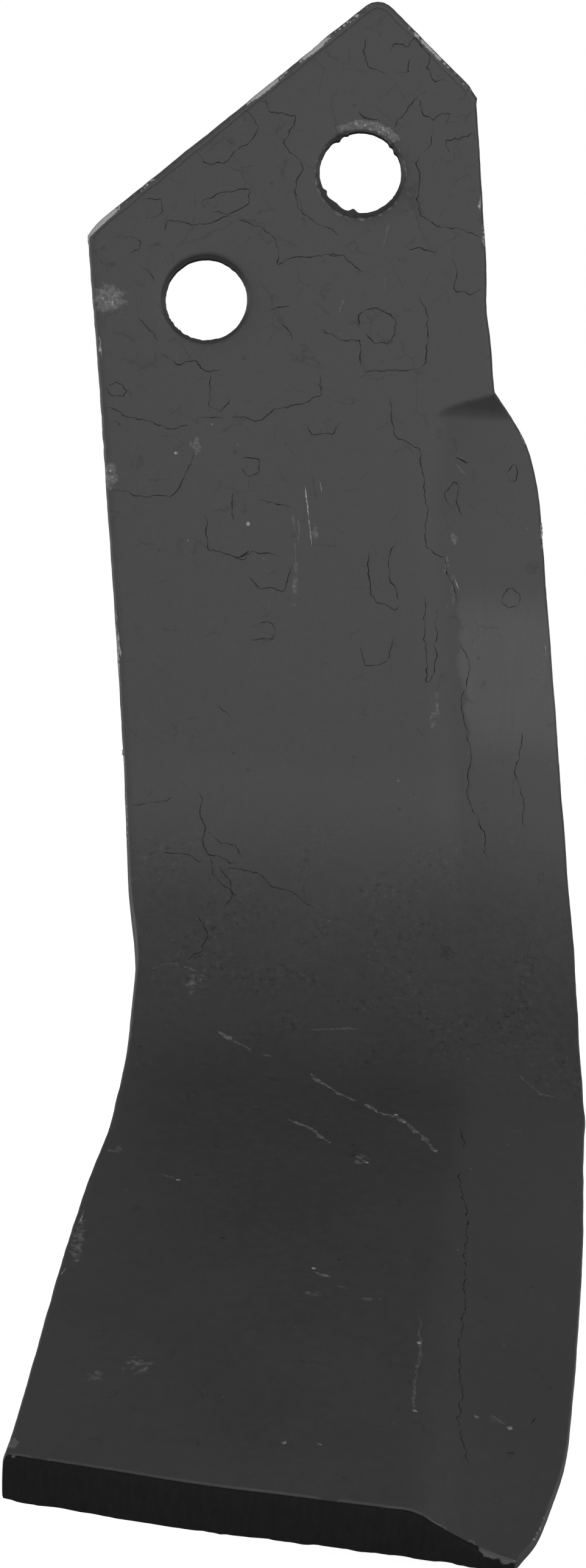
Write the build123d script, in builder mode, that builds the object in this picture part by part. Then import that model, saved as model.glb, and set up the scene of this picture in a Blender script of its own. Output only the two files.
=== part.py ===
from build123d import *
from math import asin, atan2, cos, degrees, radians, sin, tan
import os

os.makedirs("parts", exist_ok=True)

# A rotary tiller blade: one steel bar, cropped to a point, punched for two bolts, rolled thin
# along its right edge and bent forward into a wide foot. Millimetres. X runs to the right across
# the shank, Y to the back and Z up. The origin is on the back face, midway between the bolts.

# Bar
thickness = 8.0
shank_left = 38.5
shank_right = 40.3
edge_round = 0.8

# Bolt holes, on a line that rises to the right
bolt_spacing = 40.0
bolt_line_angle = 35.8
bolt_hole_diameter = 17.5
punch_roll = 0.5

# Cropped top: one cut runs beside the bolt line, the other falls past the upper bolt
left_crop_angle = 35.5
left_crop_offset = 25.6
right_crop_angle = 49.0
right_crop_offset = 27.9
peak_radius = 4.5
corner_radius = 1.5

# Rolled edge: the bevel squeezes steel out past the bar in a swell below the shoulder
shoulder_drop = 33.5
swell_length = 24.5
rolled_right = 48.5
rolled_right_at_bend = 49.2
bevel_width = 23.5
edge_thickness = 2.0
bevel_hollow = 1.0

# Shoulder: the steep ramp where the bevel stops under the bolts
ramp_left = 31.5
ramp_drop = 35.8
ramp_rise = 11.0
ramp_slope = 48.0

# Bend: forward about a line that falls to the right
bend_drop = 103.7
bend_line_tilt = 6.2
bend_radius = 69.5
bend_angle = 67.2
bend_sections = 10

# Foot: both edges turn to the left inside the bend, then run parallel to a slanting end
foot_lean = 4.6
left_turn_start = 37.0
right_turn_start = 26.5
foot_length = 129.0
end_cut_angle = 9.1
tip_length = 46.0
tip_radius = 118.0
tip_sweep = 40.0

# How far the cutting bodies stand past the steel
over = 10.0

front = -thickness
bevel_depth = thickness - edge_thickness
swell_end = -shoulder_drop - swell_length
bend_length = radians(bend_angle) * bend_radius
bend_positions = [bend_length * step / bend_sections for step in range(bend_sections + 1)]


def heading(angle):
    """Unit vector in the face of the shank, at an angle turned up from the X axis."""
    return Vector(cos(radians(angle)), 0, sin(radians(angle)))


def bend_line_height(x):
    """Height of the bend line at a place across the shank."""
    return -bend_drop - x * tan(radians(bend_line_tilt))


# The section planes have X across the blade, Y out of its front face and Z down its length
across = heading(-bend_line_tilt)
bend_start = Plane(origin=(0, front, -bend_drop), x_dir=across, z_dir=heading(-90 - bend_line_tilt))


def level(height):
    """Section plane across the shank at a height."""
    return Plane(origin=(0, front, height), x_dir=(1, 0, 0), z_dir=(0, 0, -1))


def station(position):
    """Section plane at a length round the bend, turned about the axis in front of the shank."""
    to_axis = Location((0, bend_radius, 0))
    turn = Location((0, 0, 0), (-degrees(position / bend_radius), 0, 0))
    return Plane(bend_start.location * to_axis * turn * to_axis.inverse())


def edge_place(start, lean, turn_start, position):
    """Where an edge crosses the section at a length round the bend.

    The edge keeps its lean up to turn_start, follows an arc to the end of the bend and leaves it
    with the lean of the foot. Leans are angles to the left of the section's normal.
    """
    first_lean = radians(lean)
    place = start - min(position, turn_start) * tan(first_lean)
    if position > turn_start:
        turn_radius = (bend_length - turn_start) / (sin(radians(foot_lean)) - sin(first_lean))
        lean_here = asin(sin(first_lean) + (position - turn_start) / turn_radius)
        place -= turn_radius * (cos(first_lean) - cos(lean_here))
    return place


def left_edge(position):
    """The left edge in the bend, entered straight down the shank."""
    start = -shank_left / cos(radians(bend_line_tilt))
    return edge_place(start, -bend_line_tilt, left_turn_start, position)


def right_edge(position):
    """The right edge in the bend, entered along the rolled edge, which widens a little."""
    line_height = bend_line_height(rolled_right_at_bend)
    widening = degrees(atan2(rolled_right_at_bend - rolled_right, swell_end - line_height))
    start = rolled_right_at_bend / cos(radians(bend_line_tilt))
    return edge_place(start, -bend_line_tilt - widening, right_turn_start, position)


def bevelled_section(left, right):
    """Outline of the steel below the swell: square at the left, hollow bevel to a thin right edge."""
    crease = right - bevel_width
    SagittaArc((crease, 0), (right, -bevel_depth), -bevel_hollow)
    Polyline((right, -bevel_depth), (right, -thickness), (left, -thickness), (left, 0), (crease, 0))


def bevel_waste(crease, right):
    """Outline of the steel that the bevel takes away, open to the front and to the right."""
    outside = right + over
    SagittaArc((crease, 0), (right, -bevel_depth), -bevel_hollow)
    Polyline((right, -bevel_depth), (outside, -bevel_depth), (outside, over), (crease, over), (crease, 0))


# Bevel beside the swell, narrowing upwards to the ramp
ramp_run = heading(ramp_rise)
ramp_fall = Vector(0, sin(radians(ramp_slope)), -cos(radians(ramp_slope)))
ramp = Plane(origin=(ramp_left, front, -ramp_drop), x_dir=ramp_run, z_dir=ramp_run.cross(ramp_fall))
with BuildPart() as shoulder_bevel:
    with BuildSketch(level(-shoulder_drop + over)):
        with BuildLine():
            bevel_waste(ramp_left, rolled_right)
        make_face()
    with BuildSketch(level(swell_end)):
        with BuildLine():
            bevel_waste(rolled_right - bevel_width, rolled_right)
        make_face()
    loft(ruled=True)
    split(bisect_by=ramp, keep=Keep.BOTTOM)

# The foot's own frame: X across it, Y down its length and Z out of its back face
bend_end = station(bend_length)
foot_face = Plane(origin=bend_end.origin, x_dir=bend_end.x_dir, z_dir=-bend_end.y_dir)
foot_left = left_edge(bend_length)
foot_right = right_edge(bend_length)
foot_slant = tan(radians(foot_lean))
right_end = foot_length + foot_right * tan(radians(end_cut_angle))
end_normal = bend_end.z_dir * cos(radians(end_cut_angle)) - bend_end.x_dir * sin(radians(end_cut_angle))
end_cut = Plane(
    origin=bend_end.origin + bend_end.z_dir * foot_length, x_dir=bend_end.y_dir, z_dir=end_normal
)

with BuildPart() as blade:
    # Flat shank, from above the peak down to the end of the swell
    with BuildSketch(Plane.XZ):
        with BuildLine():
            swell_foot = (rolled_right, swell_end)
            shoulder = (shank_right, -shoulder_drop)
            TangentArc(swell_foot, shoulder, tangent=(0, 1))
            Polyline(
                shoulder,
                (shank_right, shank_left + shank_right),
                (-shank_left, shank_left + shank_right),
                (-shank_left, swell_end),
                swell_foot,
            )
        make_face()
    extrude(amount=thickness)
    add(shoulder_bevel.part, mode=Mode.SUBTRACT)

    # Top cropped on both sides of the peak
    left_crop = heading(left_crop_angle + 90)
    right_crop = heading(90 - right_crop_angle)
    upper_bolt = heading(bolt_line_angle) * (bolt_spacing / 2)
    split(bisect_by=Plane(left_crop * left_crop_offset, z_dir=left_crop), keep=Keep.BOTTOM)
    split(
        bisect_by=Plane(upper_bolt + right_crop * right_crop_offset, z_dir=right_crop),
        keep=Keep.BOTTOM,
    )
    left_corner, right_corner, peak = blade.edges().filter_by(Axis.Y).sort_by(Axis.Z)[-3:]
    fillet(peak, radius=peak_radius)
    fillet([left_corner, right_corner], radius=corner_radius)

    # Rolled length, from the swell to the bend line
    with BuildSketch(level(swell_end)):
        with BuildLine():
            bevelled_section(-shank_left, rolled_right)
        make_face()
    with BuildSketch(bend_start):
        with BuildLine():
            bevelled_section(left_edge(0), right_edge(0))
        make_face()
    loft(ruled=True)

    # Bend
    for position in bend_positions:
        with BuildSketch(station(position)):
            with BuildLine():
                bevelled_section(left_edge(position), right_edge(position))
            make_face()
    loft()

    # Foot, drawn long and cut off aslant
    with BuildSketch(bend_end):
        with BuildLine():
            bevelled_section(foot_left, foot_right)
        make_face()
    extrude(amount=right_end + over, dir=bend_end.z_dir - bend_end.x_dir * foot_slant)
    split(bisect_by=end_cut, keep=Keep.BOTTOM)

    # Right edge of the foot swept in towards the tip
    with BuildSketch(foot_face):
        with BuildLine():
            tip_run = right_end - tip_length
            sweep_start = (foot_right - tip_run * foot_slant, tip_run)
            sweep_in = JernArc(sweep_start, (-foot_slant, 1), tip_radius, arc_size=tip_sweep)
            Polyline(sweep_in @ 1, (sweep_start[0] + over, (sweep_in @ 1).Y), sweep_start)
        make_face()
    extrude(amount=thickness, mode=Mode.SUBTRACT)

    # Punched bolt holes, with the front rim rolled in by the punch
    with BuildSketch(Plane.XZ):
        with PolarLocations(bolt_spacing / 2, 2, start_angle=bolt_line_angle):
            Circle(bolt_hole_diameter / 2)
    extrude(amount=thickness, mode=Mode.SUBTRACT)
    front_rims = blade.edges(Select.LAST).filter_by(GeomType.CIRCLE).group_by(Axis.Y)[0]
    fillet(front_rims, radius=punch_roll)

    # Sheared edges softened: from the left edges the rounding runs on over the top and down to the
    # shoulder, where the rolled edge starts and stays crisp
    left_edges = blade.edges().filter_by(Axis.Z).sort_by(Axis.X)[:2]
    end_face = blade.faces().sort_by(Axis(end_cut.origin, end_normal))[-1]
    fillet(left_edges + end_face.edges(), radius=edge_round)

blade.part.label = "blade"
export_step(blade.part, "parts/blade.step")
print("volume in cubic centimetres", round(blade.part.volume / 1000, 1))
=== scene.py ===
# %% [markdown]
# A rotary tiller blade is one bar of steel. It is cropped to a point, punched for two bolts, rolled
# thin along its right edge and bent forward into a wide foot, then dipped in dark satin paint. The
# CAD model has that shape with clean edges. This scene makes the blade a second time as a skin of
# points worked out with numpy, so that the sheared, torn and rolled edges can be uneven, and then
# paints it. Lengths are millimetres until the points go into the mesh.

# %% Packed model
import math

import bmesh
import bpy
import numpy as np
from mathutils import Matrix, Vector


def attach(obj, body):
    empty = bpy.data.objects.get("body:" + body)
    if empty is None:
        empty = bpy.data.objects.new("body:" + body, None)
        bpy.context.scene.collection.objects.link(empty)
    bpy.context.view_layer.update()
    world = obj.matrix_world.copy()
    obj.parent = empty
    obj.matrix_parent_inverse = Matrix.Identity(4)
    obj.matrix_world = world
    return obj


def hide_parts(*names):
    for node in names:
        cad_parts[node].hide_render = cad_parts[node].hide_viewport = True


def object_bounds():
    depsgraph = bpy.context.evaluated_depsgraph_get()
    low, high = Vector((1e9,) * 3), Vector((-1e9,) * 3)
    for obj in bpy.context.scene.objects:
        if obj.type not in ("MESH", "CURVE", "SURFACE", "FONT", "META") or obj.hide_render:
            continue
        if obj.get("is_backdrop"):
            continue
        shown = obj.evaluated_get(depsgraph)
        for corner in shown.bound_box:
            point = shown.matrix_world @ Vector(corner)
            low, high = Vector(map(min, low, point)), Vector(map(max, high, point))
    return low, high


MM = 0.001
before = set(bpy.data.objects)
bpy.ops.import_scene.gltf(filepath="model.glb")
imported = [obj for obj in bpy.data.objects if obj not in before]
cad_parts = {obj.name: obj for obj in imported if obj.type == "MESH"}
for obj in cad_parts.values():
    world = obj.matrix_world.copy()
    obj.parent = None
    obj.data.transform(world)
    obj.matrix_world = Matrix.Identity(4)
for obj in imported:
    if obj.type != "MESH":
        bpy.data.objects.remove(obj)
cad_low, cad_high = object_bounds()
print("CAD box in millimetres", [round(side / MM, 1) for side in cad_high - cad_low])

# %% [markdown]
# The camera comes first. It stands in front of the shank, a good half metre away, and is rolled a
# little, so that the blade leans in the frame. A lens that is a bit long keeps the foot, which reaches
# towards the camera, from swelling too much.

# %% Camera
image_height, pixels_per_slope = 2576, 5412.0
camera_distance = 668.0
camera_aside, camera_height = -4.65, -109.5
camera_roll = math.radians(3.45)
sensor = 36.0

camera_right = (math.cos(camera_roll), 0, -math.sin(camera_roll))
camera_up = (math.sin(camera_roll), 0, math.cos(camera_roll))
camera_back = (0, -1, 0)
camera_data = bpy.data.cameras.new("camera")
camera_data.sensor_width = sensor
camera_data.lens = sensor * pixels_per_slope / image_height
camera = bpy.data.objects.new("camera", camera_data)
axes = Matrix((camera_right, camera_up, camera_back)).transposed()
camera_place = [side * MM for side in (camera_aside, -camera_distance, camera_height)]
camera.matrix_world = Matrix.Translation(camera_place) @ axes.to_4x4()
bpy.context.scene.collection.objects.link(camera)
bpy.context.scene.camera = camera
print("lens", round(camera_data.lens, 2), "mm")

# %% [markdown]
# Steel that is bent was flat first. All the shaping is done on the flat pattern, where u runs
# across the bar, s down its length from the bend line and w into the thickness from the front
# face. One function then bends the pattern forward. Because the bend is a plain roll about one
# axis, lengths along the front face stay true, as they do on the anvil.

# %% Flat pattern and bend
thickness = 8.0
bend_drop = 103.7
tilt = math.radians(6.2)
bend_radius = 69.5
bend_turn = math.radians(67.2)
bend_length = bend_radius * bend_turn


def on_pattern(x, z):
    """Place on the pattern of a point on the shank: its offset from the bend line, turned back."""
    u = x * math.cos(tilt) - (z + bend_drop) * math.sin(tilt)
    s = -x * math.sin(tilt) - (z + bend_drop) * math.cos(tilt)
    return u, s


def on_shank(u, s):
    """The inverse of on_pattern: across and height on the shank, as if the blade were unbent."""
    x = u * math.cos(tilt) - s * math.sin(tilt)
    z = -bend_drop - u * math.sin(tilt) - s * math.cos(tilt)
    return x, z


def bent(u, s, w):
    """Pattern to space: straight above the bend line, round the axis inside the bend, straight on
    along the foot. The turn is s over the radius, kept between none and the whole bend."""
    turn = np.clip(s / bend_radius, 0, bend_turn)
    radius = bend_radius + w
    beyond = np.maximum(s - bend_length, 0)
    down = np.minimum(s, 0) + radius * np.sin(turn) + beyond * np.cos(turn)
    out = bend_radius - radius * np.cos(turn) + beyond * np.sin(turn)
    x = u * math.cos(tilt) - down * math.sin(tilt)
    z = -bend_drop - u * math.sin(tilt) - down * math.cos(tilt)
    return np.stack([x, -thickness - out, z], axis=-1)


print("bend", round(bend_length, 1), "mm round the front face")

# %% [markdown]
# The outline of the pattern is a left edge, a right edge with the swell that the rolling squeezed
# out, a cropped top and a slanting end. Each is a function of the place along the blade. Edges
# that turn inside the bend follow an arc, which is how far the steel moved sideways on the anvil.

# %% Outline
shank_left, shank_right = -38.5, 40.3
crop_left, crop_left_offset = math.radians(35.5), 25.75
crop_right, crop_right_offset = math.radians(49.0), 47.95
peak_softness = 3.6
shoulder_height, swell_foot_height = -33.5, -58.0
rolled_right, rolled_right_at_bend = 48.5, 49.2
swell_radius = 40.7
foot_lean = math.radians(4.6)
left_turn_start, right_turn_start = 37.0, 26.5
foot_length = 129.0
end_slant = math.tan(math.radians(9.1))
tip_length, tip_radius = 46.0, 118.0
widening = rolled_right_at_bend - rolled_right
widening_fall = swell_foot_height + bend_drop + rolled_right_at_bend * math.tan(tilt)


def sideways(start_lean, run, radius):
    """How far left an edge gets over a run on an arc: the radius times the change of cosine."""
    lean = np.arcsin(np.clip(math.sin(start_lean) + run / radius, -1, 1))
    return radius * (math.cos(start_lean) - np.cos(lean))


def turned_edge(start, start_lean, turn_start, s):
    """An edge below the bend line: straight on, then an arc to the end of the bend, then straight."""
    radius = (bend_length - turn_start) / (math.sin(foot_lean) - math.sin(start_lean))
    straight = np.minimum(s, turn_start) * math.tan(start_lean)
    arc = sideways(start_lean, np.clip(s - turn_start, 0, bend_length - turn_start), radius)
    foot = np.maximum(s - bend_length, 0) * math.tan(foot_lean)
    return start - straight - arc - foot


def soft_min(a, b, softness):
    """The lower of two values, rounded off where they differ by less than the softness."""
    gap = np.maximum(softness - np.abs(a - b), 0)
    return np.minimum(a, b) - gap * gap / (4 * softness)


def bumps(along, *humps):
    """A sum of smooth humps, each a height, a place along an edge and a width."""
    return sum(height * np.exp(-(((along - place) / width) ** 2)) for height, place, width in humps)


def left_u(s):
    """Left edge below the bend line."""
    return turned_edge(shank_left / math.cos(tilt), -tilt, left_turn_start, s)


def bevel_right_u(s):
    """Right edge below the bend line, as if the tip weren't swept in."""
    start = rolled_right_at_bend / math.cos(tilt)
    return turned_edge(start, -tilt - math.atan2(widening, widening_fall), right_turn_start, s)


def right_u(s):
    """Right edge below the bend line: the tip leaves the straight edge on an arc to the left."""
    foot_right = bevel_right_u(bend_length)
    sweep_start = bend_length + foot_length + foot_right * end_slant - tip_length
    run = np.maximum(s - sweep_start, 0)
    swept = bevel_right_u(sweep_start) - sideways(foot_lean, run, tip_radius)
    return np.where(s > sweep_start, swept, bevel_right_u(s))


def right_x(z):
    """Right edge of the shank: straight, then the arc of the swell, then widening to the bend."""
    up = np.clip(z, swell_foot_height, shoulder_height) - swell_foot_height
    swell = np.maximum(rolled_right - swell_radius + np.sqrt(swell_radius**2 - up**2), shank_right)
    below = np.clip((swell_foot_height - z) / widening_fall, 0, 1) * widening
    return np.where(z > shoulder_height, shank_right, swell) + below


def top_z(x, inset):
    """Cropped top: the lower of the two sheared lines, rounded where they meet in the peak, with
    the left corner drooping where the shear pressed it down."""
    left_line = (crop_left_offset - inset + x * math.sin(crop_left)) / math.cos(crop_left)
    right_line = (crop_right_offset - inset - x * math.sin(crop_right)) / math.cos(crop_right)
    droop = bumps(x, (1.0, shank_left, 2.6), (0.35, -33.0, 7.0))
    return soft_min(left_line, right_line, peak_softness) - droop


def end_s(u, inset):
    """Slanting end of the foot, straight across."""
    return bend_length + foot_length + u * end_slant - inset * math.hypot(1, end_slant)


peak_at = 22.2
print("blade from", round(float(top_z(peak_at, 0)), 1), "mm above the bolts")

# %% [markdown]
# The skin is one lattice of rows and columns that follows the outline, used for the front and the
# back. It stops a little inside the outline, and a separate strip rolls over the edge. The real
# edges wander a little. Three functions say how far, and the lattice follows them near the edge.

# %% Lattice
bolt_half = 20.0
bolt_slope = math.radians(35.8)
upper_hole = (bolt_half * math.cos(bolt_slope), bolt_half * math.sin(bolt_slope))
lower_hole = (-upper_hole[0], -upper_hole[1])
block_half = 11.2
top_inset, left_inset, right_inset, end_inset = 1.5, 1.1, 0.6, 0.6
inner_left, inner_right = shank_left + left_inset, shank_right - right_inset
inner_width = inner_right - inner_left
below_holes = -31.0
column_counts, top_row_counts = (12, 25, 11, 31, 14), (19, 10, 13, 20, 12)
shank_row_places, shank_row_counts = (0.0, 0.02, 0.15, 1.0), (2, 24, 78)
bend_row_count, foot_row_count = 85, 124
edge_power = 6


def steps(places, counts):
    """Even steps from place to place, with each stretch's own count."""
    stretches = zip(places, places[1:], counts)
    evenly = [np.linspace(a, b, count, endpoint=False) for a, b, count in stretches]
    return np.concatenate(evenly + [np.array(places[-1:])])


def share_up(hole, offset):
    """A height beside a hole, as a share of the way from below the holes to the top."""
    return (hole[1] + offset - below_holes) / (top_z(hole[0], top_inset) - below_holes)


both_sides = (block_half, -block_half)
block_sides = sorted(hole[0] + side for hole in (upper_hole, lower_hole) for side in both_sides)
columns = (steps([inner_left, *block_sides, inner_right], column_counts) - inner_left) / inner_width
block_ends = [share_up(hole, side) for side in both_sides for hole in (upper_hole, lower_hole)]
top_rows = steps([1.0, *block_ends, 0.0], top_row_counts)


def uneven_left(s):
    """How far the left edge stands out past its true line."""
    upper = bumps(s, (0.65, -101, 22), (-0.2, -22, 22), (0.15, 26, 10), (-0.75, 43, 9))
    lower = bumps(s, (0.1, 72, 6), (-0.6, 98, 11), (0.22, 144, 22), (-0.2, 190, 14))
    return upper + lower + bumps(s, (0.2, -55, 35), (0.35, 125, 38))


def uneven_right(s):
    """How far the right edge stands out past its true line."""
    upper = bumps(s, (-0.5, -91, 5), (0.55, -65, 7), (0.16, -20, 30), (0.2, 13, 6))
    lower = bumps(s, (-0.45, 54, 16), (0.3, 76, 4), (0.5, 124, 26), (-0.45, 176, 10))
    return upper + lower + bumps(s, (0.85, 209, 7))


def uneven_end(u):
    """How far the sheared end bows out past its true line."""
    return bumps(u, (0.8, -14, 12), (-0.25, -45, 8), (-0.35, 24, 14))


def top_part():
    """Rows between the holes' foot and the cropped top: each column is shared out up to the top."""
    up = top_rows[:, None]
    x = inner_left + columns[None, :] * inner_width
    z = below_holes + (top_z(x, top_inset) - below_holes) * up
    return on_pattern(np.broadcast_to(x, z.shape), z)


def ruled(left_points, right_points):
    """Straight rows from the left edge's points to the right edge's."""
    share = columns[None, :]
    return [
        left[:, None] * (1 - share) + right[:, None] * share
        for left, right in zip(left_points, right_points)
    ]


def shank_part():
    """Rows from the holes' foot to the bend line, closer together over the shoulder's ramp."""
    share = steps(shank_row_places, shank_row_counts)[1:]
    left_z = below_holes + share * (-bend_drop - inner_left * math.tan(tilt) - below_holes)
    right_z = below_holes + share * (-bend_drop - rolled_right_at_bend * math.tan(tilt) - below_holes)
    slope = np.gradient(right_x(right_z), right_z)
    inside = right_x(right_z) - right_inset * np.hypot(1, slope)
    left = on_pattern(np.full_like(left_z, inner_left), left_z)
    return ruled(left, on_pattern(inside, right_z))


def bend_part():
    """Rows round the bend, square to its length."""
    s = np.linspace(0, bend_length, bend_row_count + 1)[1:]
    return ruled((left_u(s) + left_inset, s), (right_u(s) - right_inset, s))


def foot_part():
    """Rows down the foot, turning from square to the slant of the end. Where an edge meets the end
    depends on itself a little, so it is worked out again and again until it settles."""
    share = np.linspace(0, 1, foot_row_count + 1)[1:]
    left_end = right_end = bend_length + foot_length
    for _ in range(8):
        left_end = end_s(left_u(left_end) + left_inset, end_inset)
        right_end = end_s(right_u(right_end) - right_inset, end_inset)
    left_s = bend_length + share * (left_end - bend_length)
    right_s = bend_length + share * (right_end - bend_length)
    slope = np.gradient(right_u(right_s), right_s)
    inside = right_u(right_s) - right_inset * np.hypot(1, slope)
    return ruled((left_u(left_s) + left_inset, left_s), (inside, right_s))


parts = [top_part(), shank_part(), bend_part(), foot_part()]
lattice_u, lattice_s = [np.concatenate(pieces) for pieces in zip(*parts)]
lattice_u -= uneven_left(lattice_s) * (1 - columns) ** edge_power
lattice_u += uneven_right(lattice_s) * columns**edge_power
down_foot = np.clip((lattice_s - bend_length) / foot_length, 0, 1)
lattice_s += uneven_end(lattice_u) * down_foot**edge_power
row_count, column_count = lattice_u.shape
print("lattice", row_count, "rows by", column_count, "columns")

# %% [markdown]
# Where a hole comes, a block of cells is left out, and the cells around it are drawn to a circle: a
# point keeps its direction from the hole's centre and only its distance changes.

# %% Blocks round the holes
block_reach, collar_radius = 1.7, 10.6
far_off, tolerance = 9.0, 0.001
hole_blocks = []
for hole in (upper_hole, lower_hole):
    centre_u, centre_s = on_pattern(*hole)
    centre_column = (hole[0] - inner_left) / inner_width
    beside = np.abs(columns - centre_column) / (block_half / inner_width)
    centre_row = share_up(hole, 0)
    above = np.full(row_count, far_off)
    above[: len(top_rows)] = np.abs(top_rows - centre_row) / (share_up(hole, block_half) - centre_row)
    away = np.maximum(above[:, None], beside[None, :])
    offset_u, offset_s = lattice_u - centre_u, lattice_s - centre_s
    distance = np.maximum(np.hypot(offset_u, offset_s), tolerance)
    blend = np.clip((away - 1) / (block_reach - 1), 0, 1)
    wanted = collar_radius + (distance - collar_radius) * blend
    factor = np.where(away < block_reach, wanted / distance, 1)
    lattice_u = centre_u + offset_u * factor
    lattice_s = centre_s + offset_s * factor
    rows, across = [np.flatnonzero(gap < 1 + tolerance) for gap in (above, beside)]
    hole_blocks.append((hole, rows[0], rows[-1], across[0], across[-1]))
print("blocks left out", [[int(n) for n in block[1:]] for block in hole_blocks])

# %% [markdown]
# The front face isn't flat. Right of a crease the bevel falls away to the thin edge, a little
# hollow, and it starts at the shoulder with a steep ramp. The punch pulled the rim of each hole in,
# and years of stacking and rolling leave the rest gently uneven. All of it is one depth below the
# front plane, as a function of the place on the pattern.

# %% Relief
bevel_width, edge_thickness = 23.5, 2.0
bevel_depth = thickness - edge_thickness
shank_hollow, tip_hollow, tip_hollow_from = 0.3, 1.0, 200.0
ramp_left, ramp_height = 31.5, -35.8
ramp_rise, ramp_fall = math.tan(math.radians(11.0)), math.tan(math.radians(48.0))
crease_top = -23.5
crease_softness = 0.12
ramp_top_softness, ramp_foot_softness = 0.35, 1.8
punch_dish, punch_dish_reach = 0.3, 1.6
hole_radius = 8.75
wave_depth = 0.035
shank_end, foot_start = -8.0, 2.0


def soft_max(a, b, softness):
    """The higher of two values, rounded off where they are close."""
    return -soft_min(-a, -b, softness)


def smooth_step(low, high, value):
    """Zero below low, one above high, and a smooth rise between."""
    share = np.clip((value - low) / (high - low), 0, 1)
    return share * share * (3 - 2 * share)


def bevel(share, s):
    """Depth of the bevel at a share of its width: a slope with a shallow arch taken out of it. The
    arch gets deeper from the bend to the tip."""
    share = soft_max(share, 0, crease_softness)
    hollow = shank_hollow + (tip_hollow - shank_hollow) * smooth_step(bend_length, tip_hollow_from, s)
    return bevel_depth * share + 4 * hollow * share * np.clip(1 - share, 0, 1)


def shank_relief(u, s):
    """Bevel on the shank: its crease leans in towards the shoulder, where the ramp cuts it off."""
    x, z = on_shank(u, s)
    edge = right_x(np.minimum(z, swell_foot_height))
    below = edge - bevel_width
    lean = (z - swell_foot_height) / (crease_top - swell_foot_height)
    crease = np.where(z > swell_foot_height, below + (ramp_left - below) * lean, below)
    sloped = bevel((x - crease) / (edge - crease), s)
    drop = ramp_height + (x - ramp_left) * ramp_rise - z
    ramp = soft_max(drop * ramp_fall, 0, ramp_top_softness)
    return np.maximum(soft_min(sloped, ramp, ramp_foot_softness) * (drop > -1), 0)


def foot_relief(u, s):
    """Bevel in the bend and on the foot: its crease keeps the straight edge's line, and its full
    depth is reached at the real edge, so it gets steeper where the tip is swept in."""
    crease = bevel_right_u(s) - bevel_width
    return bevel((u - crease) / (right_u(s) - crease), s)


def ripple(u, s, seed, count=9):
    """Gentle unevenness: a sum of sine waves in seeded directions, 18 to 60 mm long."""
    draw = np.random.default_rng(seed)
    total = np.zeros_like(u)
    for _ in range(count):
        heading, phase = draw.uniform(0, 2 * math.pi, 2)
        length = draw.uniform(18, 60)
        along = u * math.cos(heading) + s * math.sin(heading)
        total += np.sin(2 * math.pi * along / length + phase)
    return total / math.sqrt(count)


def front_depth(u, s):
    """Depth of the front face: shank and foot reliefs joined at the bend line, dishes and ripple."""
    join = smooth_step(shank_end, foot_start, s)
    depth = shank_relief(u, s) * (1 - join) + foot_relief(u, np.maximum(s, 0)) * join
    for hole, *_ in hole_blocks:
        centre_u, centre_s = on_pattern(*hole)
        rim = np.hypot(u - centre_u, s - centre_s) - hole_radius
        depth = depth + punch_dish * np.exp(-np.maximum(rim, 0) / punch_dish_reach)
    return depth + wave_depth * ripple(u, s, 3)


def back_depth(u, s):
    """Depth of the back face: the thickness with a ripple of its own."""
    return thickness + 0.5 * wave_depth * ripple(u, s, 8) - wave_depth


lattice_front = front_depth(lattice_u, lattice_s)
lattice_back = back_depth(lattice_u, lattice_s)
print("thinnest", round(float((lattice_back - lattice_front).min()), 2), "mm")

# %% [markdown]
# The strip round the outline is a profile carried along a path. The path is the lattice's own
# border. The profile rolls over the front edge, goes down the side and turns in at the back. Each
# side has its own: a wide soft roll at the top, a crisp one on the thin edge, a torn and leaning face
# at the end, and on the left the bulge that the bar's edge had when it left the mill.

# %% Edge strip
TOP, RIGHT, END, LEFT = range(4)
profile_front, profile_side, profile_back = 5, 2, 4
front_rolls, back_rolls = (0.7, 0.7, 0.2, 0.7), (0.35, 0.5, 0.3, 0.5)
mill_widest, mill_squareness, mill_turn_in = 0.65, 0.77, 0.7
roughness = (0.06, 0.03, 0.05, 0.03)
end_lean, end_tearing, end_chipping = 0.6, 0.14, 0.16
last_row, last_column = row_count - 1, column_count - 1
border = np.concatenate([
    np.arange(0, last_column),
    np.arange(0, last_row) * column_count + last_column,
    last_row * column_count + np.arange(last_column, 0, -1),
    np.arange(last_row, 0, -1) * column_count,
])
border_side = np.repeat([TOP, RIGHT, END, LEFT], [last_column, last_row, last_column, last_row])
border_u, border_s = lattice_u.ravel()[border], lattice_s.ravel()[border]


def by_side(*values):
    """One value for each border point, given for the top, the right, the end and the left."""
    return np.array(values)[border_side]


def eased(values, reach):
    """Running mean round the closed border, so that one side's value fades into the next."""
    window = np.ones(2 * reach + 1) / (2 * reach + 1)
    wrapped = np.concatenate([values[-reach:], values, values[:reach]])
    return np.convolve(wrapped, window, mode="valid")


def rough_line(count, seed, reach):
    """Seeded noise along a closed path, smoothed over a reach of points, about one unit high."""
    values = eased(np.random.default_rng(seed).normal(0, 1, count), reach)
    return values / values.std()


def outward(path_u, path_s):
    """Unit normals of a closed path: square to the line between the two points on either side, and
    turned to point away from the path's middle."""
    along_u = np.roll(path_u, -1) - np.roll(path_u, 1)
    along_s = np.roll(path_s, -1) - np.roll(path_s, 1)
    length = np.hypot(along_u, along_s)
    normal_u, normal_s = -along_s / length, along_u / length
    from_middle = normal_u * (path_u - path_u.mean()) + normal_s * (path_s - path_s.mean())
    facing = np.sign(from_middle.mean())
    return normal_u * facing, normal_s * facing


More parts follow.
